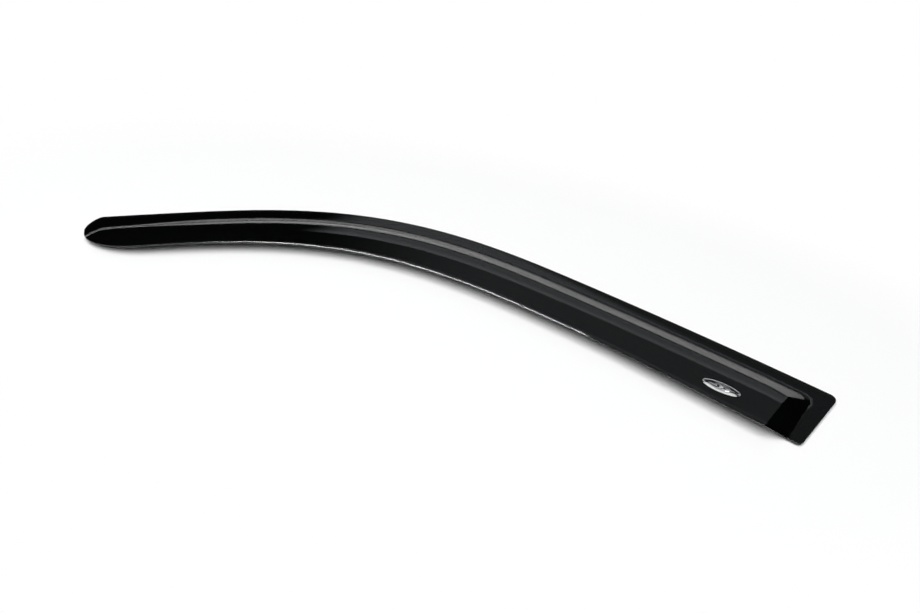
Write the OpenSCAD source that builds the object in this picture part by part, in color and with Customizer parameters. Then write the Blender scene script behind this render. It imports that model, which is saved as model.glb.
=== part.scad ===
// Window rain deflector for the left front door of a car
//
// One sheet of smoked acrylic, vacuum formed and then trimmed. It lies face up on its mounting
// tapes: +X runs along the roof towards the rear of the car, +Y runs up the door towards the
// roof, +Z points away from the glass. The origin is on the mounting face of the roof tape, on
// the tape's middle line, 20 mm from the sharp rear corner of the outer edge.
//
// A place on the sheet is given by s, the distance along the outer edge from the rear corner,
// and w, the distance inward from that edge, down the door. All lengths are in millimetres.

/* [Outer edge, seen square to the glass] */
// Length of the outer edge from the rear corner to the front corner
edge_len = 1003; // [900:1:1100]
// Angle at which the edge leaves the rear corner
edge_lean = -1.2; // [-4:0.1:2]
// Steady turn of the edge, spread over its whole length
crown_turn = 8.5; // [4:0.5:14]
// Turn of the bend between roof run and pillar run
bend_turn = 32.5; // [16:0.5:38]
// Distance from the rear corner to the start of the bend
bend_start = 334; // [250:1:380]
// Length of the bend
bend_len = 555; // [480:5:620]

/* [Sheet] */
// Thickness of the acrylic sheet
sheet_t = 3; // [2:0.1:4]
// How far the polished edge bulges out all round
edge_round = 0.7; // [0.3:0.1:1.2]

/* [Flange] */
// Width of the flat flange along the roof and the pillar
flange_w = 18.5; // [17:0.5:24]
// Width of the flat flange at the rear end
rear_flange_w = 18; // [14:0.5:22]
// Depth of the rear flange, down the door
rear_flange_depth = 85; // [76:0.5:90]
// Angle by which the rear end leans back
rear_lean = 7.5; // [0:0.5:12]
// Radius of the upper rear corner
rear_corner_r = 8; // [4:0.5:9]
// Radius of the lower rear corner
low_corner_r = 5; // [2:0.5:8]

/* [Step between flange and face] */
// Width of the step along the roof and the pillar
step_w = 17; // [15:0.5:20]
// Rise of the step from the flange to the shoulder
step_rise = 8; // [5:0.1:9]
// How much wider the step is at the crease
rear_step_gain = 2.5; // [0:0.5:8]
// Distance past the crease over which the step narrows again
rear_step_len = 28; // [15:1:50]
// Width of the closed wedge at the rear end
wedge_w = 26; // [16:0.5:30]
// Half width of the hollow fillet at the foot of the step
foot_fillet = 4.5; // [3:0.5:7]
// Half width of the round at the shoulder
shoulder_fillet = 3; // [2:0.1:4]
// Half width of the round at the crease between wedge and face
wedge_fillet = 1.2; // [0.8:0.1:2.4]
// Half width of the hollow fillet at the foot of the wedge
wedge_foot_fillet = 4; // [2:0.5:6]
// Roundness of the corner between step and wedge: 2 is a round cone, higher is squarer
corner_power = 3; // [2:0.25:6]

/* [Face] */
// Depth from the outer edge to the free edge, at the rear
face_depth_rear = 94.5; // [91:0.5:110]
// Depth from the outer edge to the free edge, along the roof run
face_depth_mid = 87.5; // [82:0.5:96]
// Depth that the free edge tapers down to, at the front corner
face_depth_front = 74.5; // [68:0.5:82]
// Distance from the closed wedge over which the free edge flares out to its rear depth
flare_len = 250; // [120:5:400]
// Distance from the rear corner to the start of the taper
taper_start = 450; // [380:5:520]
// Rise of the free edge above the flange at the rear
lip_rise_rear = 14.3; // [10:0.1:18]
// Rise of the free edge above the flange past the roof run
lip_rise_front = 12.8; // [9:0.1:14]
// Distance from the rear corner at which the free edge is down to the front rise
lip_settle = 640; // [500:5:760]
// Crown of the face between shoulder and free edge
face_crown = 0.4; // [0.2:0.1:2]
// Half the distance past the shoulder over which the face takes up its slope
face_start = 7; // [4:0.5:12]
// Width of the rolled strip along the free edge
lip_roll_w = 4; // [2:0.5:8]
// How far the free edge rolls down
lip_roll_drop = 0.5; // [0.2:0.1:1]

/* [Nose] */
// Distance from the front corner back to where the free edge starts to curve in
nose_len = 88; // [70:1:110]
// How far the tip reaches past the front corner
tip_reach = 14; // [8:0.5:20]
// Depth of the tip from the outer edge
tip_depth = 22; // [18:0.5:28]
// Distance from the front corner back to the start of the slanting cut
tip_cut = 6.5; // [4:0.5:12]
// Rise left at the tip, as a part of the rise behind the nose
tip_rise_share = 0.3; // [0.2:0.05:0.6]
// How much narrower the step is at the nose
nose_step_loss = 9; // [3:0.5:10]
// How far the foot of the step moves inward before the tip
nose_foot_shift = 4.5; // [2:0.5:7]
// How far the foot of the step swings inward at the tip itself
tip_foot_swing = 11; // [5:0.5:12]

/* [Mounting tape] */
// Thickness of the foam tape
tape_t = 1.1; // [0.8:0.1:1.6]
// Width of the tape on the long flange
tape_w = 9; // [6:0.5:11]
// Width of the tape on the rear flange
rear_tape_w = 8; // [5:0.5:9]
// Distance from the outer edge to the tape
tape_inset = 4.5; // [2:0.5:5]
// Distance from the rear corner to the split between roof tape and pillar tape
tape_split = 470; // [380:5:560]
// Gap between the ends of two tapes
tape_gap = 4; // [2:0.5:8]
// Thickness of the release liner
liner_t = 0.2; // [0.1:0.05:0.3]

/* [Badge] */
// Length of the oval badge
badge_len = 45; // [30:0.5:60]
// Width of the oval badge
badge_w = 17; // [12:0.5:22]
// Distance of the badge's middle from the rear corner, along the outer edge
badge_s = 112; // [90:1:200]
// Distance of the badge's middle from the outer edge
badge_depth = 71.5; // [62:0.5:76]
// Angle by which the badge's rear end leans towards the outer edge
badge_tilt = 4; // [0:0.5:8]
// Thickness of the label
label_t = 0.3; // [0.2:0.05:0.6]
// Height of the resin dome at its middle
dome_h = 1.2; // [0.8:0.1:2]
// Border of the label that the dome leaves bare
dome_inset = 0.4; // [0.2:0.1:1]
// Thickness of the glue under the label
label_glue = 0.1; // [0.1:0.05:0.2]

/* [Hidden] */
$fn = 64;

// Underside of the flange, and its top
flange_z = liner_t + tape_t;
flange_top = flange_z + sheet_t;

// Outer edge: the direction turns steadily, and faster through the bend
path_steps = 400;
path_len = edge_len + 2 * tip_reach;
path_step = path_len / path_steps;

function clamp01(x) = min(max(x, 0), 1);
function ease(x) = let (c = clamp01(x)) c * c * (3 - 2 * c);
function mix(a, b, t) = a + (b - a) * t;

function turn(s) = edge_lean + crown_turn * s / edge_len
                 + bend_turn * ease((s - bend_start) / bend_len);
function forward(s) = [-cos(turn(s)), -sin(turn(s))];
function inward(s) = [sin(turn(s)), -cos(turn(s))];

origin_s = 20;
origin_w = tape_inset + tape_w / 2;
rear_corner = -origin_s * forward(0) - origin_w * inward(0);
edge_path = [for (i = 0, p = rear_corner; i <= path_steps;
                  p = p + path_step * forward((i + 0.5) * path_step), i = i + 1) p];

function edge_at(s) =
    let (i = min(max(floor(s / path_step), 0), path_steps - 1), f = s / path_step - i)
    mix(edge_path[i], edge_path[i + 1], f);
function plan(s, w) = edge_at(s) + w * inward(s);

// Rear end: lines across the part lean back with it, and straighten out along the roof run
lean_slope = tan(rear_lean);
lean_fade_len = 100;
foot_o = rear_flange_w;
crease_o = rear_flange_w + wedge_w;
function lean_at(o) = lean_slope * (1 - clamp01(o / lean_fade_len));

// The station o of a place: where the line across the part through it meets the outer edge
function station(s, w) =
    s > lean_fade_len ? s : (s - w * lean_slope) / (1 - w * lean_slope / lean_fade_len);

// Foot of the step and shoulder: parallel to the outer edge, then closing towards the tip
nose_begin = edge_len - nose_len;
near_nose_len = 150;
tip_swing_len = 24;
tip_swing_start = edge_len + tip_reach / 2 - tip_swing_len;
function near_nose(s) = ease((s - nose_begin) / near_nose_len + 0.5);
function tip_swing(s) = tip_foot_swing * pow(max(s - tip_swing_start, 0) / tip_swing_len, 2);
function foot_w(s) = flange_w + nose_foot_shift * near_nose(s) + tip_swing(s);
function run_w(s) =
    step_w + rear_step_gain * (1 - ease((s - crease_o) / rear_step_len))
    - nose_step_loss * near_nose(s);
function shoulder_w(s) = foot_w(s) + run_w(s);

// Half widths of the rounds at the foot and the shoulder, smaller where the step is narrower
function foot_half(s) = foot_fillet * min(run_w(s) / step_w, 1);
function shoulder_half(s) = shoulder_fillet * min(run_w(s) / step_w, 1);

// A corner between two straight slopes, rounded by a parabola of half width k
function soft(x, k) = x <= -k ? 0 : x >= k ? x : (x + k) * (x + k) / (4 * k);

// Share of the full rise, from how far down the slope a place is: 0 at the shoulder, 1 at the
// foot. The rounds are given as shares of the slope's width
function slope_share(down, shoulder_round, foot_round) =
    soft(1 - soft(down, shoulder_round), foot_round);

// Free edge: flares out at the rear, tapers to the nose, drops to the flange across the wedge
wedge_drop = face_depth_rear - rear_flange_depth;
wedge_foot_round = wedge_foot_fillet / wedge_w;
function down_wedge(o) = (crease_o - o) / wedge_w;
function free_w(o) =
    face_depth_mid
    + (face_depth_rear - face_depth_mid) * (1 - ease((o - crease_o) / flare_len))
    - (face_depth_mid - face_depth_front) * ease((o - taper_start) / (edge_len - taper_start))
    - wedge_drop * (1 - slope_share(down_wedge(o), wedge_fillet / wedge_w, wedge_foot_round));

// How far down the slope a place is, on the step, on the wedge and round their corner
corner_blend = 0.2;
function down_slope(x, y) =
    x <= 0 || y <= 0 ? max(x, y)
    : pow(pow(x, corner_power) + pow(y, corner_power), 1 / corner_power);
function rise_share(s, w) =
    let (run = run_w(s),
         x = (foot_w(s) + run - w) / run,
         y = down_wedge(station(s, w)),
         on_wedge = ease(0.5 + (y - x) / (2 * corner_blend)))
    slope_share(down_slope(x, y),
                mix(shoulder_half(s) / run, wedge_fillet / wedge_w, on_wedge),
                mix(foot_half(s) / run, wedge_foot_round, on_wedge));

// The whole surface sinks towards the tip
sink_lead = 50;
sink_start = nose_begin - sink_lead;
function nose_share(s) =
    1 - (1 - tip_rise_share)
    * pow(clamp01((s - sink_start) / (edge_len + tip_reach - sink_start)), 2);
function face_rise(s, w) =
    let (start = shoulder_w(s) + face_start,
         free = free_w(station(s, w)),
         depth = free - start,
         v = soft((w - start) / depth, face_start / depth),
         lip = mix(lip_rise_rear, lip_rise_front, ease((s - crease_o) / (lip_settle - crease_o))),
         rolled = lip_roll_drop * pow(max(1 - (free - w) / lip_roll_w, 0), 2))
    nose_share(s) * (mix(step_rise, lip, v) + face_crown * 4 * v * (1 - v) - rolled);
function rise(s, w) = face_rise(s, w) * rise_share(s, w);

// Upper surface, its normal, and the point one sheet thickness below
function top_point(s, w) = concat(plan(s, w), [flange_top + rise(s, w)]);
slope_probe = 0.2;
function top_normal(s, w) =
    let (h = slope_probe,
         along = top_point(s + h, w) - top_point(s - h, w),
         across = top_point(s, w + h) - top_point(s, w - h),
         n = cross(along, across))
    n / norm(n);
function under_point(s, w) = top_point(s, w) - sheet_t * top_normal(s, w);

// Ends of the trimmed sheet
function corner_start(d, r) = r - sqrt(max(r * r - pow(max(r - d, 0), 2), 0));
function rear_end(w) =
    w * lean_slope + corner_start(w, rear_corner_r)
    + corner_start(rear_flange_depth - w, low_corner_r);
cut_power = 1.5;
nose_power = 2.2;
nose_depth = free_w(nose_begin);
function bow(x, power) = pow(max(1 - pow(x, power), 0), 1 / power);
function nose_end(w) =
    w < tip_depth
    ? edge_len - tip_cut + (tip_cut + tip_reach) * bow((tip_depth - w) / tip_depth, cut_power)
    : nose_begin + (nose_len + tip_reach)
      * bow((w - tip_depth) / (nose_depth - tip_depth), nose_power);

// Columns run along the part. They follow the outer edge, the foot, the shoulder and the face
corner_cols = 4;
flange_cols = 2;
fillet_cols = 4;
slope_cols = 2;
face_cols = 11;
col_corner = corner_cols;
col_flange = col_corner + flange_cols;
col_foot = col_flange + fillet_cols;
col_slope = col_foot + slope_cols;
col_shoulder = col_slope + fillet_cols;
last_col = col_shoulder + face_cols;

function col_w(j, o) =
    let (foot = foot_w(o), shoulder = shoulder_w(o), fh = foot_half(o), sh = shoulder_half(o))
    j <= col_corner ? rear_corner_r * (1 - cos(90 * j / corner_cols)) :
    j <= col_flange ? mix(rear_corner_r, foot - fh, (j - col_corner) / flange_cols) :
    j <= col_foot ? foot + fh * (2 * (j - col_flange) / fillet_cols - 1) :
    j <= col_slope ? mix(foot + fh, shoulder - sh, (j - col_foot) / slope_cols) :
    j <= col_shoulder ? shoulder + sh * (2 * (j - col_slope) / fillet_cols - 1) :
    mix(shoulder + sh, free_w(o), sin(90 * (j - col_shoulder) / face_cols));

// The nose outline is met where a column, followed forward, reaches it
function col_end(j, s, tries) = tries == 0 ? s : col_end(j, nose_end(col_w(j, s)), tries - 1);
nose_tries = 6;
col_ends = [for (j = [0 : last_col]) col_end(j, edge_len, nose_tries)];

// Rows run across the part: rear flange, wedge foot, wedge, crease, main run, nose
rear_rows = 3;
crease_rows = 4;
wedge_rows = 4;
corner_rows = 2;
corner_row_step = 3;
main_rows = 44;
nose_rows = 14;
base_half = wedge_foot_fillet;
corner_end = crease_o + wedge_fillet + corner_rows * corner_row_step;
o_flat = foot_o - base_half;
nose_row_lead = 10;
main_end = nose_begin - nose_row_lead;
row_o = concat(
    [for (i = [0 : crease_rows]) foot_o + base_half * (2 * i / crease_rows - 1)],
    [for (i = [1 : wedge_rows]) mix(foot_o + base_half, crease_o - wedge_fillet, i / wedge_rows)],
    [for (i = [1 : crease_rows]) crease_o + wedge_fillet * (2 * i / crease_rows - 1)],
    [for (i = [1 : corner_rows]) crease_o + wedge_fillet + i * corner_row_step],
    [for (i = [1 : main_rows]) mix(corner_end, main_end, i / main_rows)]);

function rear_place(i, j) =
    let (w = col_w(j, 0)) [mix(rear_end(w), o_flat + w * lean_at(o_flat), i / rear_rows), w];
function main_place(i, j) =
    let (o = row_o[i], w = col_w(j, o)) [o + w * lean_at(o), w];
function nose_place(i, j) =
    let (s = mix(main_end, col_ends[j], i / nose_rows)) [s, col_w(j, s)];

places = concat(
    [for (i = [0 : rear_rows - 1]) [for (j = [0 : last_col]) rear_place(i, j)]],
    [for (i = [0 : len(row_o) - 1]) [for (j = [0 : last_col]) main_place(i, j)]],
    [for (i = [1 : nose_rows]) [for (j = [0 : last_col]) nose_place(i, j)]]);
last_row = len(places) - 1;
col_count = last_col + 1;
sheet_points = (last_row + 1) * col_count;

// Points round the trimmed outline, in order, as row and column
outline = concat(
    [for (j = [0 : last_col - 1]) [0, j]],
    [for (i = [0 : last_row - 1]) [i, last_col]],
    [for (j = [last_col : -1 : 1]) [last_row, j]],
    [for (i = [last_row : -1 : 1]) [i, 0]]);
outline_len = len(outline);

module visor() {
    top = [for (row = places) for (p = row) top_point(p[0], p[1])];
    under = [for (row = places) for (p = row) under_point(p[0], p[1])];
    ids = [for (k = outline) k[0] * col_count + k[1]];
    rim = [for (k = [0 : outline_len - 1])
        let (a = top[ids[(k + outline_len - 1) % outline_len]],
             b = top[ids[(k + 1) % outline_len]],
             out = cross(b - a, [0, 0, 1]))
        (top[ids[k]] + under[ids[k]]) / 2 - edge_round * out / norm(out)];
    sheet_faces = [for (i = [0 : last_row - 1]) for (j = [0 : last_col - 1])
        let (a = i * col_count + j, b = a + 1, c = a + col_count + 1, d = a + col_count)
        each [[a, b, c], [a, c, d],
              [sheet_points + a, sheet_points + c, sheet_points + b],
              [sheet_points + a, sheet_points + d, sheet_points + c]]];
    rim_faces = [for (k = [0 : outline_len - 1])
        let (n = (k + 1) % outline_len,
             t0 = ids[k], t1 = ids[n],
             m0 = 2 * sheet_points + k, m1 = 2 * sheet_points + n,
             u0 = sheet_points + ids[k], u1 = sheet_points + ids[n])
        each [[t0, m0, m1], [t0, m1, t1], [m0, u0, u1], [m0, u1, m1]]];
    color([0.11, 0.12, 0.12])
        polyhedron(points = concat(top, under, rim), faces = concat(sheet_faces, rim_faces),
                   convexity = 6);
}

// A strip that follows the flange between two distances from the outer edge
strip_step = 12;
module flange_strip(s0, s1, w0, w1, t) {
    n = ceil((s1 - s0) / strip_step);
    linear_extrude(t) polygon(concat(
        [for (i = [0 : n]) plan(mix(s0, s1, i / n), w0)],
        [for (i = [n : -1 : 0]) plan(mix(s0, s1, i / n), w1)]));
}

rear_tape_start = tape_inset + tape_w + tape_gap;
rear_tape_end = rear_flange_depth - low_corner_r - tape_inset;
roof_tape_start = rear_corner_r + tape_inset;
pillar_tape_end = edge_len - tip_cut - tape_inset;
module rear_strip(t) {
    linear_extrude(t) polygon(
        [for (c = [[0, 0], [1, 0], [1, 1], [0, 1]])
            let (w = mix(rear_tape_start, rear_tape_end, c[1]))
            plan(tape_inset + c[0] * rear_tape_w + w * lean_slope, w)]);
}
module roof_strip(t) {
    flange_strip(roof_tape_start, tape_split - tape_gap / 2, tape_inset, tape_inset + tape_w, t);
}
module pillar_strip(t) {
    flange_strip(tape_split + tape_gap / 2, pillar_tape_end, tape_inset, tape_inset + tape_w, t);
}

module tape_roof() { color([0.16, 0.16, 0.17]) translate([0, 0, liner_t]) roof_strip(tape_t); }
module tape_pillar() { color([0.16, 0.16, 0.17]) translate([0, 0, liner_t]) pillar_strip(tape_t); }
module tape_rear() { color([0.16, 0.16, 0.17]) translate([0, 0, liner_t]) rear_strip(tape_t); }
module liner_roof() { color([0.72, 0.10, 0.10]) roof_strip(liner_t); }
module liner_pillar() { color([0.72, 0.10, 0.10]) pillar_strip(liner_t); }
module liner_rear() { color([0.72, 0.10, 0.10]) rear_strip(liner_t); }

// Puts a shape on the face where the badge sits, square to the sheet, its length along the part
module on_face() {
    p = top_point(badge_s, badge_depth);
    z = top_normal(badge_s, badge_depth);
    along = concat(-forward(badge_s), [0]);
    x0 = along - (along * z) * z;
    x = x0 / norm(x0);
    y = cross(z, x);
    multmatrix([[x[0], y[0], z[0], p[0]],
                [x[1], y[1], z[1], p[1]],
                [x[2], y[2], z[2], p[2]],
                [0, 0, 0, 1]])
        rotate([0, 0, badge_tilt]) children();
}

oval_sides = 72;
module oval(l, w) {
    polygon([for (i = [0 : oval_sides - 1])
        [l / 2 * cos(360 * i / oval_sides), w / 2 * sin(360 * i / oval_sides)]]);
}

module badge_label() {
    color([0.07, 0.07, 0.08]) on_face() translate([0, 0, label_glue])
        linear_extrude(label_t) oval(badge_len, badge_w);
}

// The resin dome: its edge is rounded as the poured resin rounds itself, its middle nearly flat
dome_steps = 7;
dome_top_angle = 78;
dome_skin = 0.02;
module badge_dome() {
    color([0.85, 0.87, 0.88]) on_face() translate([0, 0, label_glue + label_t])
        hull() for (k = [0 : dome_steps]) {
            a = dome_top_angle * k / dome_steps;
            side = dome_inset + 0.5 * badge_w * (1 - sqrt(cos(a)));
            translate([0, 0, (dome_h - dome_skin) * sin(a) / sin(dome_top_angle)])
                linear_extrude(dome_skin) oval(badge_len - 2 * side, badge_w - 2 * side);
        }
}

visor();
badge_label();
badge_dome();
tape_roof();
tape_pillar();
tape_rear();
liner_roof();
liner_pillar();
liner_rear();
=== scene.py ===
# %% [markdown]
# # A window rain deflector in smoked acrylic
#
# The part is one sheet of dark, glossy acrylic that clings to the frame of a left front door.
# A flat flange follows the outer edge and carries the mounting tape. A soft step rises from it
# to a nearly flat face, whose lower edge stands free so that air can leave the window.
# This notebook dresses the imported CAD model: it loads the frame, lays a finer skin over the
# sheet, prints the badge, gives each tape its finish and sets up a small photo table.

import math
import bpy
import numpy as np
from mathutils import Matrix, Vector


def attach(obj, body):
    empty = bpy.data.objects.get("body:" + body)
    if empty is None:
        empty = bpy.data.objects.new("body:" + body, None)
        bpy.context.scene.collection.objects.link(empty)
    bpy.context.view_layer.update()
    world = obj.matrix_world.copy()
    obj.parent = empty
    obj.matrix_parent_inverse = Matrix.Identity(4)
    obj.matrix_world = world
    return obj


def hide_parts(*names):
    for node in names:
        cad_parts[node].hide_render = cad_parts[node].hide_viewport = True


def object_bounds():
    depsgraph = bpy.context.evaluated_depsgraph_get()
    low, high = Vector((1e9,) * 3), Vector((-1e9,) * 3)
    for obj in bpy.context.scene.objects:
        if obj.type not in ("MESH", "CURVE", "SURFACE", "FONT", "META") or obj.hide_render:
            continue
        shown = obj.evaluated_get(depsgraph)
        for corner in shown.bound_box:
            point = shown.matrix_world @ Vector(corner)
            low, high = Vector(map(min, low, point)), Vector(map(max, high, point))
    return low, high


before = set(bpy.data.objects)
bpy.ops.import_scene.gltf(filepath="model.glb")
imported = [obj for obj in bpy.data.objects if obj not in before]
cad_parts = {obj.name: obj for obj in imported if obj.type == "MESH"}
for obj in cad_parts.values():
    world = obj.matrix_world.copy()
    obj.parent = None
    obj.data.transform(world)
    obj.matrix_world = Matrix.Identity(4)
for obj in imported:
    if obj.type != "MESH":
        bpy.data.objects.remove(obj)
cad_low, cad_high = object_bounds()
print("CAD box, mm:", [round(1000 * (b - a), 1) for a, b in zip(cad_low, cad_high)])

# %% [markdown]
# ## Lengths, colours and nodes
#
# The formulas below think in millimetres, as a drawing does, and Blender in metres, so one
# factor turns the finished points over. Colours are written as the hex values a painter would
# pick on a screen, and one function turns them to the linear values that light works in.

# %% Small helpers
MM = 0.001


def linear(hex_colour):
    """An sRGB hex colour as linear red, green, blue and alpha."""
    channels = [int(hex_colour[i:i + 2], 16) / 255 for i in (1, 3, 5)]
    return tuple(c / 12.92 if c <= 0.04045 else ((c + 0.055) / 1.055) ** 2.4
                 for c in channels) + (1.0,)


def add_node(tree, kind, settings=None, **inputs):
    """Adds one node. Settings are its own properties; inputs are values or sockets to link."""
    node = tree.nodes.new(kind)
    for name, value in (settings or {}).items():
        setattr(node, name, value)
    for name, value in inputs.items():
        key = int(name[1:]) if name[1:].isdigit() else name.replace("_", " ")
        socket = node.inputs[key]
        if isinstance(value, bpy.types.NodeSocket):
            tree.links.new(value, socket)
        else:
            socket.default_value = value
    return node


def new_material(name):
    """An empty material with only its output node."""
    material = bpy.data.materials.new(name)
    material.use_nodes = True
    material.node_tree.nodes.clear()
    output = add_node(material.node_tree, "ShaderNodeOutputMaterial")
    return material, material.node_tree, output


def math_node(operation, first, second=0.0, third=0.0):
    """A maths node in the tree that is being built."""
    return add_node(tree, "ShaderNodeMath", {"operation": operation}, _0=first, _1=second,
                    _2=third).outputs[0]


print("white is", linear("#FFFFFF"))

# %% [markdown]
# ## The shape of the sheet
#
# A place on the sheet is given by s, the distance along the outer edge from its rear corner, and
# w, the distance inward from that edge. The outer edge is a curve whose direction turns slowly,
# and faster through the bend between roof and windscreen pillar. The height above the flange is
# a formula of s and w: a straight slope with small rounds, then a nearly flat face. Nearly all
# the driving sizes are the CAD solid's, so this skin lies on it with finer steps. Two forms are
# its own, read from the reflections: the face has no crown and starts 10 mm past the shoulder,
# which puts it up to 0.7 mm lower in its middle, and the outer edge turns up by 0.2 mm.

# %% Driving sizes in millimetres
EDGE_LEN = 1003
EDGE_LEAN = -1.2
CROWN_TURN = 8.5
BEND_TURN = 32.5
BEND_START = 334
BEND_LEN = 555
SHEET_T = 3
EDGE_ROUND = 0.7
FLANGE_W = 18.5
REAR_FLANGE_W = 18
REAR_FLANGE_DEPTH = 85
REAR_LEAN = 7.5
REAR_CORNER_R = 8
LOW_CORNER_R = 5
STEP_W = 17
STEP_RISE = 8
REAR_STEP_GAIN = 2.5
REAR_STEP_LEN = 28
WEDGE_W = 26
FOOT_FILLET = 4.5
SHOULDER_FILLET = 3
WEDGE_FILLET = 1.2
WEDGE_FOOT_FILLET = 4
CORNER_POWER = 3
FACE_DEPTH_REAR = 94.5
FACE_DEPTH_MID = 87.5
FACE_DEPTH_FRONT = 74.5
FLARE_LEN = 250
TAPER_START = 450
LIP_RISE_REAR = 14.3
LIP_RISE_FRONT = 12.8
LIP_SETTLE = 640
FACE_START = 10
LIP_ROLL_W = 4
LIP_ROLL_DROP = 0.5
EDGE_CURL_W = 12
EDGE_CURL = 0.2
NOSE_LEN = 88
TIP_REACH = 14
TIP_DEPTH = 22
TIP_CUT = 6.5
TIP_RISE_SHARE = 0.3
NOSE_STEP_LOSS = 9
NOSE_FOOT_SHIFT = 4.5
TIP_FOOT_SWING = 11
TAPE_T = 1.1
TAPE_W = 9
TAPE_INSET = 4.5
LINER_T = 0.2
ORIGIN_S = 20

flange_top = LINER_T + TAPE_T + SHEET_T
nose_begin = EDGE_LEN - NOSE_LEN
print("sheet:", EDGE_LEN, "mm along the outer edge, flange top at", flange_top, "mm")

# %% The outer edge
PATH_STEPS = 400
path_step = (EDGE_LEN + 2 * TIP_REACH) / PATH_STEPS


def ease(x):
    c = np.clip(x, 0, 1)
    return c * c * (3 - 2 * c)


def mix(a, b, t):
    return a + (b - a) * t


def turned(s):
    """Angle that the outer edge has turned through at s, in radians."""
    bend = BEND_TURN * ease((s - BEND_START) / BEND_LEN)
    return np.radians(EDGE_LEAN + CROWN_TURN * s / EDGE_LEN + bend)


def forward(s):
    return np.stack([-np.cos(turned(s)), -np.sin(turned(s))], -1)


def inward(s):
    return np.stack([np.sin(turned(s)), -np.cos(turned(s))], -1)


rear_corner = -ORIGIN_S * forward(0) - (TAPE_INSET + TAPE_W / 2) * inward(0)
step_middles = (np.arange(PATH_STEPS) + 0.5) * path_step
edge_path = np.vstack([[rear_corner], rear_corner
                       + np.cumsum(path_step * forward(step_middles), 0)])
path_s = np.arange(PATH_STEPS + 1) * path_step


def plan(s, w):
    """Seen square to the glass: the point at s along the edge and w inward from it."""
    on_edge = np.stack([np.interp(s, path_s, edge_path[:, i]) for i in (0, 1)], -1)
    return on_edge + np.asarray(w)[..., None] * inward(s)


print("front corner at", plan(np.array(EDGE_LEN), np.array(0)).round(1), "mm")

# %% [markdown]
# ## Step, wedge and face
#
# On the real part a heated sheet is sucked over a mould, so nothing has a sharp inside corner.
# A rounded corner between two straight slopes is a short parabola. The step runs along the
# sheet, the wedge closes its rear end, and the two slopes meet in a rounded corner.

# %% Height of the upper surface
lean_slope = math.tan(math.radians(REAR_LEAN))
foot_o = REAR_FLANGE_W
crease_o = REAR_FLANGE_W + WEDGE_W
wedge_foot_round = WEDGE_FOOT_FILLET / WEDGE_W
LEAN_FADE_LEN = 100
CORNER_BLEND = 0.2
NEAR_NOSE_LEN = 150
TIP_SWING_LEN = 24
NOSE_SINK_LEAD = 50
NORMAL_STEP = 0.2


def lean_at(o):
    return lean_slope * (1 - min(o / LEAN_FADE_LEN, 1))


def station(s, w):
    """Where the line across the part through a place meets the outer edge."""
    leaning = (s - w * lean_slope) / (1 - w * lean_slope / LEAN_FADE_LEN)
    return np.where(s > LEAN_FADE_LEN, s, leaning)


def near_nose(s):
    return ease((s - nose_begin) / NEAR_NOSE_LEN + 0.5)


def foot_w(s):
    swing_start = EDGE_LEN + TIP_REACH / 2 - TIP_SWING_LEN
    swing = TIP_FOOT_SWING * (np.maximum(s - swing_start, 0) / TIP_SWING_LEN) ** 2
    return FLANGE_W + NOSE_FOOT_SHIFT * near_nose(s) + swing


def slope_w(s):
    gain = REAR_STEP_GAIN * (1 - ease((s - crease_o) / REAR_STEP_LEN))
    return STEP_W + gain - NOSE_STEP_LOSS * near_nose(s)


def foot_half(s):
    return FOOT_FILLET * np.minimum(slope_w(s) / STEP_W, 1)


def shoulder_half(s):
    return SHOULDER_FILLET * np.minimum(slope_w(s) / STEP_W, 1)


def soft(x, k):
    """A corner between two straight slopes, rounded by a parabola of half width k."""
    return np.where(x <= -k, 0, np.where(x >= k, x, (x + k) ** 2 / (4 * k)))


def slope_share(down, shoulder_round, foot_round):
    """Share of the full rise, from how far down the slope a place is: 0 shoulder, 1 foot."""
    return soft(1 - soft(down, shoulder_round), foot_round)


def free_w(o):
    flare = 1 - ease((o - crease_o) / FLARE_LEN)
    taper = ease((o - TAPER_START) / (EDGE_LEN - TAPER_START))
    off_face = 1 - slope_share((crease_o - o) / WEDGE_W, WEDGE_FILLET / WEDGE_W,
                               wedge_foot_round)
    return (FACE_DEPTH_MID + (FACE_DEPTH_REAR - FACE_DEPTH_MID) * flare
            - (FACE_DEPTH_MID - FACE_DEPTH_FRONT) * taper
            - (FACE_DEPTH_REAR - REAR_FLANGE_DEPTH) * off_face)


def rise_share(s, w):
    """Share of the full rise on the step, on the wedge and round the corner between them."""
    run = slope_w(s)
    x = (foot_w(s) + run - w) / run
    y = (crease_o - station(s, w)) / WEDGE_W
    round_corner = (np.maximum(x, 0) ** CORNER_POWER
                    + np.maximum(y, 0) ** CORNER_POWER) ** (1 / CORNER_POWER)
    down = np.where((x <= 0) | (y <= 0), np.maximum(x, y), round_corner)
    on_wedge = ease(0.5 + (y - x) / (2 * CORNER_BLEND))
    return slope_share(down, mix(shoulder_half(s) / run, WEDGE_FILLET / WEDGE_W, on_wedge),
                       mix(foot_half(s) / run, wedge_foot_round, on_wedge))


def face_rise(s, w):
    start = foot_w(s) + slope_w(s) + FACE_START
    free = free_w(station(s, w))
    depth = free - start
    v = soft((w - start) / depth, FACE_START / depth)
    rolled = LIP_ROLL_DROP * np.maximum(1 - (free - w) / LIP_ROLL_W, 0) ** 2
    lip = mix(LIP_RISE_REAR, LIP_RISE_FRONT, ease((s - crease_o) / (LIP_SETTLE - crease_o)))
    sink_start = nose_begin - NOSE_SINK_LEAD
    sink = np.clip((s - sink_start) / (EDGE_LEN + TIP_REACH - sink_start), 0, 1) ** 2
    return (1 - (1 - TIP_RISE_SHARE) * sink) * (mix(STEP_RISE, lip, v) - rolled)


def top_point(s, w):
    rise = face_rise(s, w) * rise_share(s, w)
    return np.concatenate([plan(s, w), (flange_top + rise)[..., None]], -1)


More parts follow.
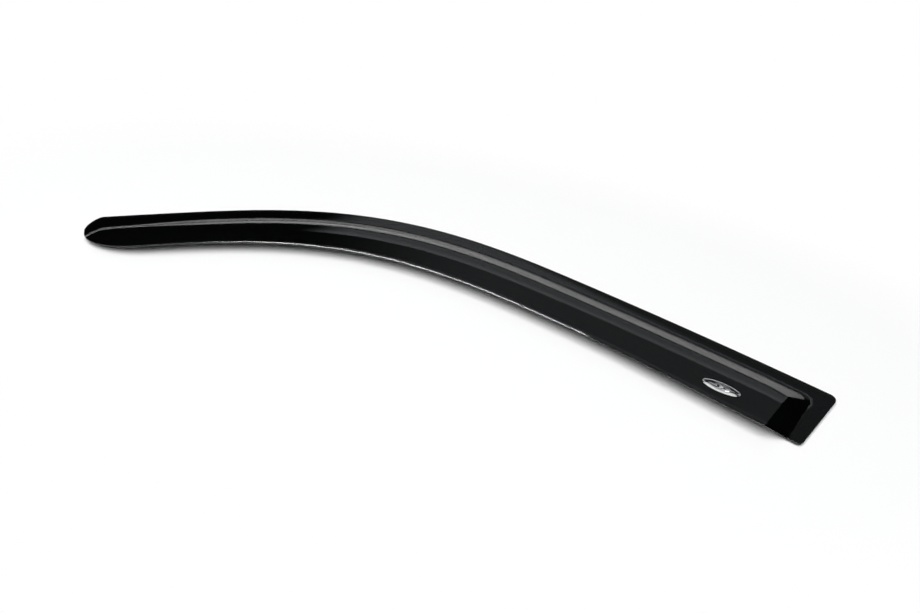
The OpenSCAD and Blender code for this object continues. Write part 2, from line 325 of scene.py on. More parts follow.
def top_normal(s, w, h=NORMAL_STEP):
    """Square to the upper surface, from points a little to each side of a place."""
    along = top_point(s + h, w) - top_point(s - h, w)
    across = top_point(s, w + h) - top_point(s, w - h)
    n = np.cross(along, across)
    return n / np.linalg.norm(n, axis=-1, keepdims=True)


print("step rises", STEP_RISE, "mm, lip", LIP_RISE_REAR, "to", LIP_RISE_FRONT, "mm above the flange")

# %% [markdown]
# ## Trimming the ends
#
# After forming, the sheet is cut out of its blank. The rear end is a leaning line with two
# rounded corners. The front closes to a leaf-shaped tip. The columns of the mesh run along the
# part, close together where the surface bends, and each column stops where it meets the cut.

# %% Rear cut and nose cut
CUT_POWER = 1.5
NOSE_POWER = 2.2
nose_depth = float(free_w(nose_begin))


def corner_start(d, r):
    return r - np.sqrt(np.maximum(r * r - np.maximum(r - d, 0) ** 2, 0))


def rear_end(w):
    return (w * lean_slope + corner_start(w, REAR_CORNER_R)
            + corner_start(REAR_FLANGE_DEPTH - w, LOW_CORNER_R))


def bow(x, power):
    return np.maximum(1 - np.clip(x, 0, 1) ** power, 0) ** (1 / power)


def nose_end(w):
    cut = EDGE_LEN - TIP_CUT + (TIP_CUT + TIP_REACH) * bow((TIP_DEPTH - w) / TIP_DEPTH, CUT_POWER)
    leaf = nose_begin + (NOSE_LEN + TIP_REACH) * bow(
        (w - TIP_DEPTH) / (nose_depth - TIP_DEPTH), NOSE_POWER)
    return np.where(w < TIP_DEPTH, cut, leaf)


print("tip reaches s =", round(float(nose_end(np.array(float(TIP_DEPTH)))), 1), "mm")

# %% Columns across the sheet
CORNER_COLS = 8
FLANGE_COLS = 4
FILLET_COLS = 12
SLOPE_COLS = 5
FACE_COLS = 30
column_ends = np.cumsum([0, CORNER_COLS, FLANGE_COLS, FILLET_COLS, SLOPE_COLS,
                         FILLET_COLS, FACE_COLS])


def column_w(o):
    """The w of every column at the station o, from the outer edge to the free edge."""
    o = np.asarray(o, float)[..., None]
    foot = foot_w(o)
    shoulder = foot + slope_w(o)
    knots = [REAR_CORNER_R + 0 * o, foot - foot_half(o), foot + foot_half(o),
             shoulder - shoulder_half(o), shoulder + shoulder_half(o), free_w(o)]
    bands = [REAR_CORNER_R * (1 - np.cos(np.linspace(0, math.pi / 2, CORNER_COLS + 1))) + 0 * o]
    counts = [FLANGE_COLS, FILLET_COLS, SLOPE_COLS, FILLET_COLS]
    for count, a, b in zip(counts, knots[:-2], knots[1:-1]):
        bands.append(mix(a, b, np.arange(1, count + 1) / count))
    face = np.sin(np.linspace(0, math.pi / 2, FACE_COLS + 1)[1:])
    bands.append(mix(knots[-2], knots[-1], face))
    return np.concatenate(bands, -1)


print("columns:", column_ends[-1] + 1)

# %% Rows along the sheet
REAR_ROWS = 8
CREASE_ROWS = 12
WEDGE_ROWS = 24
MAIN_ROWS = 220
NOSE_ROWS = 48
base_half = WEDGE_FOOT_FILLET
CORNER_ROWS = 16
CORNER_LEN = 12
NOSE_ROW_LEAD = 10
END_PASSES = 12
main_end = nose_begin - NOSE_ROW_LEAD

first_w = column_w(0.0)
flat_o = foot_o - base_half
flat_s = flat_o + first_w * lean_at(flat_o)
rear_rows = [(mix(rear_end(first_w), flat_s, i / REAR_ROWS), first_w) for i in range(REAR_ROWS)]

stations = np.concatenate([
    np.linspace(foot_o - base_half, foot_o + base_half, CREASE_ROWS + 1),
    np.linspace(foot_o + base_half, crease_o - WEDGE_FILLET, WEDGE_ROWS + 1)[1:],
    np.linspace(crease_o - WEDGE_FILLET, crease_o + WEDGE_FILLET, CREASE_ROWS + 1)[1:],
    np.linspace(crease_o + WEDGE_FILLET, crease_o + CORNER_LEN, CORNER_ROWS + 1)[1:],
    np.linspace(crease_o + CORNER_LEN, main_end, MAIN_ROWS + 1)[1:]])
main_rows = []
for o in stations:
    w = column_w(o)
    main_rows.append((o + w * lean_at(o), w))

# Where a column ends depends on its w, and its w on where it ends, so the two are refined in turn.
ends = np.full(column_ends[-1] + 1, float(EDGE_LEN))
for attempt in range(END_PASSES):
    ends = nose_end(np.diagonal(column_w(ends)))
nose_rows = []
for i in range(1, NOSE_ROWS + 1):
    s = mix(main_end, ends, i / NOSE_ROWS)
    nose_rows.append((s, np.diagonal(column_w(s))))

rows = rear_rows + main_rows + nose_rows
grid_s = np.array([r[0] for r in rows])
grid_w = np.array([r[1] for r in rows])
print("rows:", len(rows))

# %% [markdown]
# ## From points to a solid sheet
#
# The upper and lower skins are joined round the trimmed outline. The cut edge of the real part
# is buffed, so it is a half-round rim and not a square one: it catches a thin bright line. The
# underside is set a hundredth of a millimetre off the tape so that the two don't share a plane.
# The rim stands out a tenth of a millimetre less than the solid's, which keeps the skin inside
# the solid's box where the outer edge turns up.

# %% Build the sheet
TAPE_HAIR = 0.01
RIM_HAIR = 0.1
RIM_STEPS = 10
top = top_point(grid_s, grid_w)
under = top - (SHEET_T - TAPE_HAIR) * top_normal(grid_s, grid_w)
top[..., 2] += EDGE_CURL * np.maximum(1 - grid_w / EDGE_CURL_W, 0) ** 2
row_count, col_count = grid_s.shape
ids = np.arange(row_count * col_count).reshape(row_count, col_count)
outline = np.concatenate([ids[0, :-1], ids[:-1, -1], ids[-1, :0:-1], ids[:0:-1, 0]])

flat_top = top.reshape(-1, 3)
flat_under = under.reshape(-1, 3)
ring_top, ring_under = flat_top[outline], flat_under[outline]
chord = np.roll(ring_top, -1, 0) - np.roll(ring_top, 1, 0)
out = np.cross(chord, [0, 0, 1])
out = -out / np.linalg.norm(out, axis=1, keepdims=True)
middle = (ring_top + ring_under) / 2
rim = []
for k in range(1, RIM_STEPS):
    a = math.pi * k / RIM_STEPS
    rim.append(middle + (ring_top - middle) * math.cos(a)
               + (EDGE_ROUND - RIM_HAIR) * out * math.sin(a))

points = np.vstack([flat_top, flat_under] + rim)
quads = np.stack([ids[:-1, :-1], ids[:-1, 1:], ids[1:, 1:], ids[1:, :-1]], -1).reshape(-1, 4)
faces = [quads, quads[:, ::-1] + len(flat_top)]
base = 2 * len(flat_top)
ring_len = len(outline)
rings = ([outline] + [base + k * ring_len + np.arange(ring_len) for k in range(RIM_STEPS - 1)]
         + [outline + len(flat_top)])
for a, b in zip(rings[:-1], rings[1:]):
    faces.append(np.stack([a, b, np.roll(b, -1), np.roll(a, -1)], -1))
faces = np.vstack(faces)[:, ::-1]


def mesh_piece(name, points_mm, quad_list):
    """A smooth-shaded mesh object from points in millimetres."""
    mesh = bpy.data.meshes.new(name)
    mesh.from_pydata((points_mm * MM).tolist(), [], [list(map(int, q)) for q in quad_list])
    mesh.validate()
    mesh.polygons.foreach_set("use_smooth", [True] * len(mesh.polygons))
    piece = bpy.data.objects.new(name, mesh)
    bpy.context.scene.collection.objects.link(piece)
    return piece


sheet = mesh_piece("acrylic_sheet", points, faces)
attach(sheet, "root")
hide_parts("visor")
print("sheet faces:", len(sheet.data.polygons))
print("highest point:", round(float(top[..., 2].max()), 1), "mm above the table")

# %% [markdown]
# ## Smoked acrylic
#
# Cast acrylic (PMMA) is clear plastic, here dyed through with a grey-green smoke tint. It is
# heated and vacuum formed, which keeps the gloss of the cast sheet but leaves very slow waves
# in it. So the surface is a clear, smooth glass-like one with the IOR of acrylic, 1.49, and the
# dye sits in the volume: one to two hundredths of the light comes through three millimetres.

# %% Smoked acrylic material
ACRYLIC_CLEAR = "#FFFFFF"
ACRYLIC_IOR = 1.49
ACRYLIC_ROUGHNESS = 0.03
THROUGH_RED, THROUGH_GREEN, THROUGH_BLUE = 0.012, 0.015, 0.014
DYE_DENSITY = 1600.0
FORMING_WAVE_MM = 45
FORMING_WAVE_HEIGHT_MM = 0.012

acrylic, tree, output = new_material("smoked_cast_acrylic")
coords = add_node(tree, "ShaderNodeTexCoord").outputs["Object"]
waves = add_node(tree, "ShaderNodeTexNoise", {"noise_dimensions": "3D"}, Vector=coords,
                 Scale=1 / (FORMING_WAVE_MM * MM), Detail=1.0, Roughness=0.4)
relief = add_node(tree, "ShaderNodeBump", Strength=1.0,
                  Distance=FORMING_WAVE_HEIGHT_MM * MM, Height=waves.outputs[0])
surface = add_node(tree, "ShaderNodeBsdfPrincipled", Base_Color=linear(ACRYLIC_CLEAR),
                   Roughness=ACRYLIC_ROUGHNESS, IOR=ACRYLIC_IOR, Transmission_Weight=1.0,
                   Normal=relief.outputs[0])


def dye_colour(share_through):
    """Absorption colour that lets this share of the light through the sheet's thickness."""
    per_metre = -math.log(share_through) / (SHEET_T * MM)
    return 1 - per_metre / DYE_DENSITY


dye = add_node(tree, "ShaderNodeVolumeAbsorption", Density=DYE_DENSITY,
               Color=(dye_colour(THROUGH_RED), dye_colour(THROUGH_GREEN),
                      dye_colour(THROUGH_BLUE), 1.0))
tree.links.new(surface.outputs[0], output.inputs["Surface"])
tree.links.new(dye.outputs[0], output.inputs["Volume"])
sheet.data.materials.append(acrylic)
print("dye colour:", [round(c, 3) for c in dye.inputs["Color"].default_value])

# %% [markdown]
# ## The badge
#
# Such a part carries a small oval badge: a printed vinyl label under a drop of clear resin that
# rounds itself off at its rim. This one has a plain mark of its own. The label is built flat in
# its own millimetres and then set on the face, square to the sheet, so its print can be drawn
# from plain distances in the label's plane. Poured resin stands up steeply at its rim and is
# nearly flat in the middle: each ring of the dome is inset by a low power of the cosine.

# %% Where the badge sits
BADGE_LEN = 45
BADGE_W = 17
BADGE_S = 112
BADGE_DEPTH = 71.5
BADGE_TILT = 4
LABEL_GLUE = 0.1
LABEL_T = 0.3
DOME_H = 1.2
DOME_INSET = 0.4

seat = top_point(np.array(float(BADGE_S)), np.array(float(BADGE_DEPTH)))
up = top_normal(np.array(float(BADGE_S)), np.array(float(BADGE_DEPTH)))
along = np.append(-forward(BADGE_S), 0)
x_axis = along - up * along.dot(up)
x_axis /= np.linalg.norm(x_axis)
y_axis = np.cross(up, x_axis)
tilt = math.radians(BADGE_TILT)
badge_axes = np.array([x_axis * math.cos(tilt) + y_axis * math.sin(tilt),
                       y_axis * math.cos(tilt) - x_axis * math.sin(tilt), up])


def on_face(local_mm):
    return seat + local_mm @ badge_axes


print("badge middle:", seat.round(1), "mm")

# %% Label and dome
OVAL_SIDES = 144
oval_angles = np.linspace(0, 2 * math.pi, OVAL_SIDES, endpoint=False)


def oval_ring(inset, z):
    """Points of an oval, inset from the badge's outline, at a height in its own frame."""
    return np.stack([(BADGE_LEN / 2 - inset) * np.cos(oval_angles),
                     (BADGE_W / 2 - inset) * np.sin(oval_angles),
                     np.full(OVAL_SIDES, float(z))], -1)


def stacked(name, rings_mm):
    """A closed solid from stacked ovals, capped by a middle point at both ends."""
    local = np.vstack(rings_mm + [[0, 0, rings_mm[0][0, 2]], [0, 0, rings_mm[-1][0, 2]]])
    turns = np.arange(OVAL_SIDES)
    following = np.roll(turns, -1)
    walls = []
    for k in range(len(rings_mm) - 1):
        a, b = k * OVAL_SIDES, (k + 1) * OVAL_SIDES
        walls.extend(np.stack([a + turns, a + following, b + following, b + turns], -1))
    low_cap, high_cap = len(local) - 2, len(local) - 1
    last = (len(rings_mm) - 1) * OVAL_SIDES
    walls.extend(np.stack([turns, np.full(OVAL_SIDES, low_cap), following], -1))
    walls.extend(np.stack([last + turns, last + following, np.full(OVAL_SIDES, high_cap)], -1))
    return mesh_piece(name, on_face(local), walls), local


label_low = LABEL_GLUE
label_high = LABEL_GLUE + LABEL_T
LABEL_ROUND = 0.03
INNER_RINGS_MM = (1, 3, 5, 7)
label_rings = [oval_ring(0, label_low), oval_ring(0, label_high - LABEL_ROUND),
               oval_ring(LABEL_ROUND, label_high)]
label_rings += [oval_ring(i, label_high) for i in INNER_RINGS_MM]
label, label_local = stacked("badge_label_print", label_rings)

DOME_STEPS = 20
DOME_TOP_ANGLE = math.radians(80)
DOME_FLATNESS = 0.22
DOME_HAIR = 0.01
dome_low = label_high + DOME_HAIR
dome_rings = []
for k in range(DOME_STEPS + 1):
    a = DOME_TOP_ANGLE * k / DOME_STEPS
    inset = DOME_INSET + 0.5 * BADGE_W * (1 - math.cos(a) ** DOME_FLATNESS)
    dome_rings.append(oval_ring(inset, dome_low + (DOME_H - 2 * DOME_HAIR) * math.sin(a)
                                / math.sin(DOME_TOP_ANGLE)))
dome, _ = stacked("badge_resin_dome", dome_rings)

for piece, node, slot in ((label, "badge_label", "label_vinyl"),
                          (dome, "badge_dome", "clear_resin")):
    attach(piece, "root")
    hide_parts(node)

layer = label.data.uv_layers.new(name="label_mm")
for loop in label.data.loops:
    x, y, _ = label_local[loop.vertex_index]
    layer.data[loop.index].uv = (x / BADGE_LEN + 0.5, y / BADGE_LEN + 0.5)
print("label and dome faces:", len(label.data.polygons), len(dome.data.polygons))

# %% [markdown]
# ## Printed vinyl
#
# The label is black polyester film with metallic silver ink. The ink is metal flakes in a clear
# binder, so it shines as metal does, but only in part and softly. The resin above wets the film,
# so there is no gloss between them, and the film's specular level is zero. The print is drawn
# from distances in the label's plane: an oval line near the rim, and a bar, a dot and a bar.

# %% Label print material
FILM_BLACK = "#0B0C0D"
INK_SILVER = "#C9CCCE"
RING_INSET_MM = 1.7
RING_LINE_MM = 0.45
BAR_LEN_MM = 10
BAR_HEIGHT_MM = 1.7
BAR_CENTRE_MM = 10
DOT_R_MM = 2.4
PRINT_EDGE_MM = 0.12
FLAKE_SHARE = 0.4
FLAKES_PER_MM = 6.0
FLAKE_RELIEF_MM = 0.01
FILM_ROUGHNESS = 0.10
INK_ROUGHNESS = 0.28

film, tree, output = new_material("printed_polyester_film")
uv = add_node(tree, "ShaderNodeUVMap", {"uv_map": "label_mm"}).outputs[0]
shift = add_node(tree, "ShaderNodeVectorMath", {"operation": "SUBTRACT"}, _0=uv, _1=(0.5, 0.5, 0))
in_mm = add_node(tree, "ShaderNodeVectorMath", {"operation": "MULTIPLY"}, _0=shift.outputs[0],
                 _1=(BADGE_LEN, BADGE_LEN, 0))
split = add_node(tree, "ShaderNodeSeparateXYZ", _0=in_mm.outputs[0])
label_x, label_y = split.outputs[0], split.outputs[1]


def inked(distance):
    """1 where the signed distance to a printed shape is negative, with a soft printed edge."""
    return add_node(tree, "ShaderNodeMapRange", _0=distance, _1=-PRINT_EDGE_MM / 2,
                    _2=PRINT_EDGE_MM / 2, _3=1.0, _4=0.0).outputs[0]


ring_x = math_node("DIVIDE", label_x, BADGE_LEN / 2 - RING_INSET_MM)
ring_y = math_node("DIVIDE", label_y, BADGE_W / 2 - RING_INSET_MM)
ring_r = math_node("SQRT", math_node("ADD", math_node("MULTIPLY", ring_x, ring_x),
                                     math_node("MULTIPLY", ring_y, ring_y)))
ring_off = math_node("MULTIPLY", math_node("SUBTRACT", ring_r, 1.0), BADGE_W / 2 - RING_INSET_MM)
ring_mask = inked(math_node("SUBTRACT", math_node("ABSOLUTE", ring_off), RING_LINE_MM / 2))

bar_x = math_node("SUBTRACT", math_node("ABSOLUTE", math_node(
    "SUBTRACT", math_node("ABSOLUTE", label_x), BAR_CENTRE_MM)), BAR_LEN_MM / 2)
bar_y = math_node("SUBTRACT", math_node("ABSOLUTE", label_y), BAR_HEIGHT_MM / 2)
bar_mask = inked(math_node("MAXIMUM", bar_x, bar_y))

dot_r = math_node("SQRT", math_node("ADD", math_node("MULTIPLY", label_x, label_x),
                                    math_node("MULTIPLY", label_y, label_y)))
dot_mask = inked(math_node("SUBTRACT", dot_r, DOT_R_MM))
ink = math_node("MAXIMUM", ring_mask, math_node("MAXIMUM", bar_mask, dot_mask))

colour = add_node(tree, "ShaderNodeMix", {"data_type": "RGBA"}, _0=ink, _6=linear(FILM_BLACK),
                  _7=linear(INK_SILVER)).outputs[2]
shine = add_node(tree, "ShaderNodeMapRange", _0=ink, _3=FILM_ROUGHNESS,
                 _4=INK_ROUGHNESS).outputs[0]
flakes = add_node(tree, "ShaderNodeTexNoise", Vector=in_mm.outputs[0], Scale=FLAKES_PER_MM,
                  Detail=2.0)
ink_relief = add_node(tree, "ShaderNodeBump", Strength=0.15, Distance=FLAKE_RELIEF_MM * MM,
                      Height=flakes.outputs[0])
film_surface = add_node(tree, "ShaderNodeBsdfPrincipled", Base_Color=colour,
                        Metallic=math_node("MULTIPLY", ink, FLAKE_SHARE),
                        Roughness=shine, Specular_IOR_Level=0.0,
                        Normal=ink_relief.outputs[0])
tree.links.new(film_surface.outputs[0], output.inputs["Surface"])
label.data.materials.append(film)
print("print:", "ring", RING_LINE_MM, "mm, bars", BAR_LEN_MM, "x", BAR_HEIGHT_MM, "mm")

# %% [markdown]
# ## Doming resin
#
# The dome is clear polyurethane, poured and cured. It is as clear as glass and nearly as smooth,
# with slow, shallow waves left by the pouring. Its IOR is about 1.5.

# %% Resin material
RESIN_CLEAR = "#FAFCFC"
RESIN_IOR = 1.5
RESIN_ROUGHNESS = 0.02
RESIN_WAVE_MM = 8
RESIN_WAVE_HEIGHT_MM = 0.01

resin, tree, output = new_material("clear_polyurethane")
resin_waves = add_node(tree, "ShaderNodeTexNoise",
                       Vector=add_node(tree, "ShaderNodeTexCoord").outputs["Object"],
                       Scale=1 / (RESIN_WAVE_MM * MM), Detail=1.0)
resin_relief = add_node(tree, "ShaderNodeBump", Strength=0.3, Distance=RESIN_WAVE_HEIGHT_MM * MM,
                        Height=resin_waves.outputs[0])
resin_surface = add_node(tree, "ShaderNodeBsdfPrincipled", Base_Color=linear(RESIN_CLEAR),
                         Roughness=RESIN_ROUGHNESS, IOR=RESIN_IOR, Transmission_Weight=1.0,
                         Normal=resin_relief.outputs[0])
tree.links.new(resin_surface.outputs[0], output.inputs["Surface"])
dome.data.materials.append(resin)
print("resin IOR:", RESIN_IOR)

# %% [markdown]
# ## Foam tape and its liner
#
# Under the flange runs dark grey acrylic foam tape, slit from a wide roll: its faces are matt
# with closed cells a few tenths of a millimetre wide, and its long sides show the cut. Until the
# part is fitted, a red polyester liner covers the glue. It is a smooth film with a soft sheen
# and faint creases across it from the roll.

# %% Foam tape material
FOAM_DARK = "#2B2C2E"
FOAM_PALE = "#3A3B3D"
FOAM_IOR = 1.48
FOAM_ROUGHNESS = 0.85
CELL_MM = 0.5
CELL_DEPTH_MM = 0.06
PATCH_MM = 6

foam, tree, output = new_material("acrylic_foam_tape")
coords = add_node(tree, "ShaderNodeTexCoord").outputs["Object"]
cells = add_node(tree, "ShaderNodeTexVoronoi", Vector=coords, Scale=1 / (CELL_MM * MM))
patches = add_node(tree, "ShaderNodeTexNoise", Vector=coords, Scale=1 / (PATCH_MM * MM), Detail=3.0)
tone = add_node(tree, "ShaderNodeMix", {"data_type": "RGBA"}, _0=patches.outputs[0],
                _6=linear(FOAM_DARK), _7=linear(FOAM_PALE)).outputs[2]
pits = add_node(tree, "ShaderNodeBump", Strength=0.6, Distance=CELL_DEPTH_MM * MM,
                Height=cells.outputs["Distance"])
foam_surface = add_node(tree, "ShaderNodeBsdfPrincipled", Base_Color=tone,
                        Roughness=FOAM_ROUGHNESS, IOR=FOAM_IOR, Normal=pits.outputs[0])
tree.links.new(foam_surface.outputs[0], output.inputs["Surface"])
print("foam cells:", CELL_MM, "mm")

# %% Liner material
LINER_DARK = "#A31419"
LINER_PALE = "#B81C20"
LINER_IOR = 1.6
LINER_SMOOTHEST = 0.28
LINER_ROUGHEST = 0.4
CREASE_MM = 9
CREASE_HEIGHT_MM = 0.04
FINE_MM = 0.8

liner, tree, output = new_material("red_polyester_liner")
coords = add_node(tree, "ShaderNodeTexCoord").outputs["Object"]
creases = add_node(tree, "ShaderNodeTexNoise", Vector=coords, Scale=1 / (CREASE_MM * MM),
                   Detail=2.0)
fine = add_node(tree, "ShaderNodeTexNoise", Vector=coords, Scale=1 / (FINE_MM * MM), Detail=2.0)
tone = add_node(tree, "ShaderNodeMix", {"data_type": "RGBA"}, _0=creases.outputs[0],
                _6=linear(LINER_DARK), _7=linear(LINER_PALE)).outputs[2]
sheen = add_node(tree, "ShaderNodeMapRange", _0=fine.outputs[0], _3=LINER_SMOOTHEST,
                 _4=LINER_ROUGHEST).outputs[0]
folds = add_node(tree, "ShaderNodeBump", Strength=0.5, Distance=CREASE_HEIGHT_MM * MM,
                 Height=creases.outputs[0])
liner_surface = add_node(tree, "ShaderNodeBsdfPrincipled", Base_Color=tone, Roughness=sheen,
                         IOR=LINER_IOR, Normal=folds.outputs[0])
tree.links.new(liner_surface.outputs[0], output.inputs["Surface"])
print("liner creases:", CREASE_MM, "mm apart")

# %% Dress the CAD tapes
for node_name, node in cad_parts.items():
    finish = foam if node_name.startswith("tape") else liner
    if node_name.startswith(("tape", "liner")):
        node.data.materials.clear()
        node.data.materials.append(finish)
        print(node_name, "gets", finish.name)

# %% [markdown]
# ## Photo table
#
# Product photos of glossy black parts are made on a white table in a dark room. The table is matt
# white card, lit from above. Away from the part it turns into a plain white sweep, so that the
# ground is even right to the picture's edge. Camera, mirrored and transmitted rays all see the
# sweep, and it gives no light of its own.

# %% Table
TABLE_HALF_M = 12.0
PART_MIDDLE_M = (-0.45, -0.12)
PART_HEADING = 15.5
CARD_HALF_M = (0.60, 0.24)
CARD_WHITE = (0.93, 0.93, 0.93, 1.0)
SWEEP_START = 1.0
SWEEP_FULL = 1.4
TABLE_GAP_MM = 0.02

table_mesh = bpy.data.meshes.new("photo_table")
table_mesh.from_pydata([(-TABLE_HALF_M, -TABLE_HALF_M, 0), (TABLE_HALF_M, -TABLE_HALF_M, 0),
                        (TABLE_HALF_M, TABLE_HALF_M, 0), (-TABLE_HALF_M, TABLE_HALF_M, 0)],
                       [], [(0, 1, 2, 3)])
table = bpy.data.objects.new("photo_table", table_mesh)
bpy.context.scene.collection.objects.link(table)
table.location = (PART_MIDDLE_M[0], PART_MIDDLE_M[1], cad_low.z - TABLE_GAP_MM * MM)
table.rotation_euler.z = math.radians(PART_HEADING)


def looked_at():
    """1 for the rays that see a background: the camera's, mirrored ones and transmitted ones."""
    ray = add_node(tree, "ShaderNodeLightPath")
    return math_node("MAXIMUM", ray.outputs["Is Camera Ray"],
                     math_node("MAXIMUM", ray.outputs["Is Glossy Ray"],
                               ray.outputs["Is Transmission Ray"]))


paper, tree, output = new_material("white_card")
paper_surface = add_node(tree, "ShaderNodeBsdfDiffuse", Color=CARD_WHITE)
sweep_surface = add_node(tree, "ShaderNodeEmission", Color=(1, 1, 1, 1), Strength=1.0)
in_shares = add_node(tree, "ShaderNodeVectorMath", {"operation": "DIVIDE"},
                     _0=add_node(tree, "ShaderNodeTexCoord").outputs["Object"],
                     _1=(CARD_HALF_M[0], CARD_HALF_M[1], 1))
far = add_node(tree, "ShaderNodeVectorMath", {"operation": "LENGTH"}, _0=in_shares.outputs[0])
far_share = add_node(tree, "ShaderNodeMapRange", {"interpolation_type": "SMOOTHSTEP"},
                     _0=far.outputs["Value"], _1=SWEEP_START, _2=SWEEP_FULL).outputs[0]
card = add_node(tree, "ShaderNodeMixShader", _0=math_node("MULTIPLY", far_share, looked_at()),
                _1=paper_surface.outputs[0], _2=sweep_surface.outputs[0])
tree.links.new(card.outputs[0], output.inputs["Surface"])
table_mesh.materials.append(paper)
print("card turns into the sweep from", CARD_HALF_M, "m off the part's middle")

# %% [markdown]
# ## Room
#
# A dark, glossy sheet shows little of its own and much of what stands round it, so the room is
# drawn by height and bearing, in degrees, as the sheet mirrors it. A pale wall and a dimmer one
# stand behind the part and draw the grey bands on its flange and face. Every kind of ray sees
# the same room. Low down stands a white backdrop for the table. Camera, mirrored and transmitted
# rays all see it white, and it gives no light of its own.

# %% Room
ROOM_DARK = 0.02
ROOM_ABOVE = 0.17
WALL_LOW = 0.85
WALL_PALE = 0.62
WALL_DIM = 0.22
WALL_FOOT = 0.06
WALL_EDGE_SLOPE = 0.18
WALL_EDGE_HEIGHT = 36.9
WALL_EDGE_BEARING = 95
WALL_EDGE = WALL_EDGE_HEIGHT + WALL_EDGE_BEARING * WALL_EDGE_SLOPE
WALL_EDGE_SOFT = 0.8
WALL_TOP = (44.2, 47.2)
PALE_BAND_START = 1.0
PALE_BAND_END = 6.0
PALE_NEAR_SIDE = (62.0, 68.0)
PALE_FAR_SIDE = (132.0, 136.0)
DIM_HEIGHTS = (20.0, 29.0)
DIM_NEAR_SIDE = (76.0, 88.0)
DIM_FAR_SIDE = (116.0, 135.0)
BACKDROP_TOP = 20.0
BACKDROP_SOFT = 1.0
ROOM_TINT = (0.94, 1.0, 1.03, 1.0)

world = bpy.data.worlds.new("dark_studio")
bpy.context.scene.world = world
world.use_nodes = True
tree = world.node_tree
tree.nodes.clear()
world_output = add_node(tree, "ShaderNodeOutputWorld")
direction = add_node(tree, "ShaderNodeTexCoord").outputs["Generated"]
parts = add_node(tree, "ShaderNodeSeparateXYZ", _0=direction).outputs
height = math_node("MULTIPLY", math_node("ARCSINE", parts[2]), 180 / math.pi)
bearing = math_node("MULTIPLY", math_node("ARCTAN2", parts[1], parts[0]), 180 / math.pi)


def fade(value, span, from_value, to_value):
    """A soft step across a span between two angles, in degrees."""
    return add_node(tree, "ShaderNodeMapRange", {"interpolation_type": "SMOOTHSTEP"}, _0=value,
                    _1=span[0], _2=span[1], _3=from_value, _4=to_value).outputs[0]


above_edge = math_node("ADD", height, math_node("MULTIPLY", bearing, WALL_EDGE_SLOPE))
pale_sides = math_node("MULTIPLY", fade(bearing, PALE_NEAR_SIDE, 0.0, 1.0),
                       fade(bearing, PALE_FAR_SIDE, 1.0, 0.0))
pale_level = fade(above_edge, (WALL_EDGE + PALE_BAND_START, WALL_EDGE + PALE_BAND_END),
                  WALL_LOW, WALL_PALE)
pale_wall = math_node("MULTIPLY", math_node("MULTIPLY", pale_level, pale_sides),
                      fade(above_edge, (WALL_EDGE - WALL_EDGE_SOFT, WALL_EDGE + WALL_EDGE_SOFT),
                           0.0, 1.0))
dim_wall = math_node("MULTIPLY", fade(height, DIM_HEIGHTS, WALL_FOOT, WALL_DIM),
                     math_node("MULTIPLY", fade(bearing, DIM_NEAR_SIDE, 0.0, 1.0),
                               fade(bearing, DIM_FAR_SIDE, 1.0, 0.0)))
wall = math_node("MULTIPLY", math_node("MAXIMUM", pale_wall, dim_wall),
                 fade(height, WALL_TOP, 1.0, ROOM_ABOVE / WALL_PALE))
glow = math_node("ADD", wall, ROOM_DARK)
room = add_node(tree, "ShaderNodeBackground", Color=ROOM_TINT, Strength=glow)
white = add_node(tree, "ShaderNodeBackground", Color=(1, 1, 1, 1), Strength=1.0)
backdrop = fade(height, (BACKDROP_TOP - BACKDROP_SOFT, BACKDROP_TOP), 1.0, 0.0)
sky = add_node(tree, "ShaderNodeMixShader", _0=math_node("MULTIPLY", backdrop, looked_at()),
               _1=room.outputs[0], _2=white.outputs[0])
tree.links.new(sky.outputs[0], world_output.inputs["Surface"])
print("backdrop reaches", BACKDROP_TOP, "degrees above the horizon")

# %% [markdown]
# ## Lights
#
# One large panel hangs above the table, a little towards the camera. It lights the card and
# gives the part its short, soft shadow. A smaller one hangs behind the part and is there for
# the gloss alone: matt surfaces don't see it, and it draws the thin bright line along the lip.

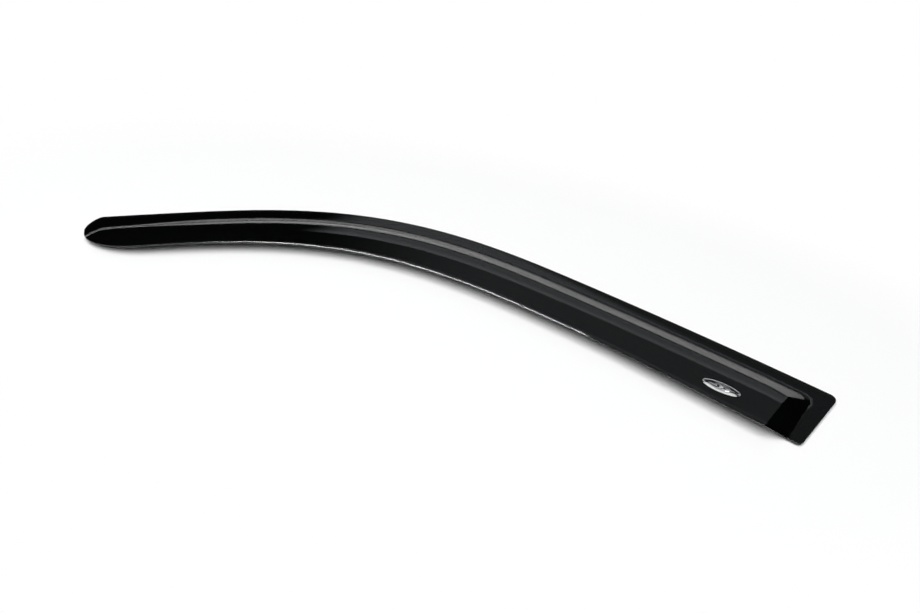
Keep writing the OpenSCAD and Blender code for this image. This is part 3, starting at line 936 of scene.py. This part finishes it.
# %% Lights
CEILING_PLACE_M = (-0.40, -1.55, 5.0)
CEILING_SIZE_M = (6.4, 6.4)
CEILING_RADIANCE = 3.2
LIP_PANEL_PLACE_M = (-1.70, 1.00, 2.3)
LIP_PANEL_HEADING = 11.3
LIP_PANEL_SIZE_M = (1.55, 0.95)
LIP_PANEL_RADIANCE = 16.0


def soft_panel(name, place, heading, size, radiance):
    """A rectangular area light that faces down: its place, its long side's heading in degrees,
    its length and width, and the radiance of its face."""
    data = bpy.data.lights.new(name, "AREA")
    data.shape = "RECTANGLE"
    data.size, data.size_y = size
    data.energy = radiance * math.pi * size[0] * size[1]
    lamp = bpy.data.objects.new(name, data)
    lamp.location = place
    lamp.rotation_euler.z = math.radians(heading)
    bpy.context.scene.collection.objects.link(lamp)
    return lamp


ceiling_panel = soft_panel("ceiling_panel", CEILING_PLACE_M, 0, CEILING_SIZE_M, CEILING_RADIANCE)
lip_panel = soft_panel("lip_panel", LIP_PANEL_PLACE_M, LIP_PANEL_HEADING, LIP_PANEL_SIZE_M,
                       LIP_PANEL_RADIANCE)
lip_panel.visible_diffuse = False
print("panels, W:", round(ceiling_panel.data.energy), round(lip_panel.data.energy))

# %% [markdown]
# ## Camera
#
# The camera stands in front of the free edge and above it, and looks down at the part along its
# length, as in the photograph. A lens of about 35 mm on a full frame keeps the strong
# perspective: the rear end is near and large, the nose far and small.

# %% Camera
CAMERA_PLACE_MM = (17.2, -735.3, 788.6)
CAMERA_PITCH = 46.12
CAMERA_HEADING = 34.41
LENS_MM = 34.65
SENSOR_MM = 36
CLIP_NEAR_M = 0.01
CLIP_FAR_M = 100

camera_data = bpy.data.cameras.new("table_camera")
camera_data.lens = LENS_MM
camera_data.sensor_width = SENSOR_MM
camera_data.clip_start = CLIP_NEAR_M
camera_data.clip_end = CLIP_FAR_M
camera = bpy.data.objects.new("table_camera", camera_data)
camera.location = Vector(CAMERA_PLACE_MM) * MM
camera.rotation_euler = (math.radians(90 - CAMERA_PITCH), 0, math.radians(CAMERA_HEADING))
bpy.context.scene.collection.objects.link(camera)
bpy.context.scene.camera = camera
bpy.context.scene.view_settings.view_transform = "Standard"
print("camera:", LENS_MM, "mm lens, looking down by", CAMERA_PITCH, "degrees")
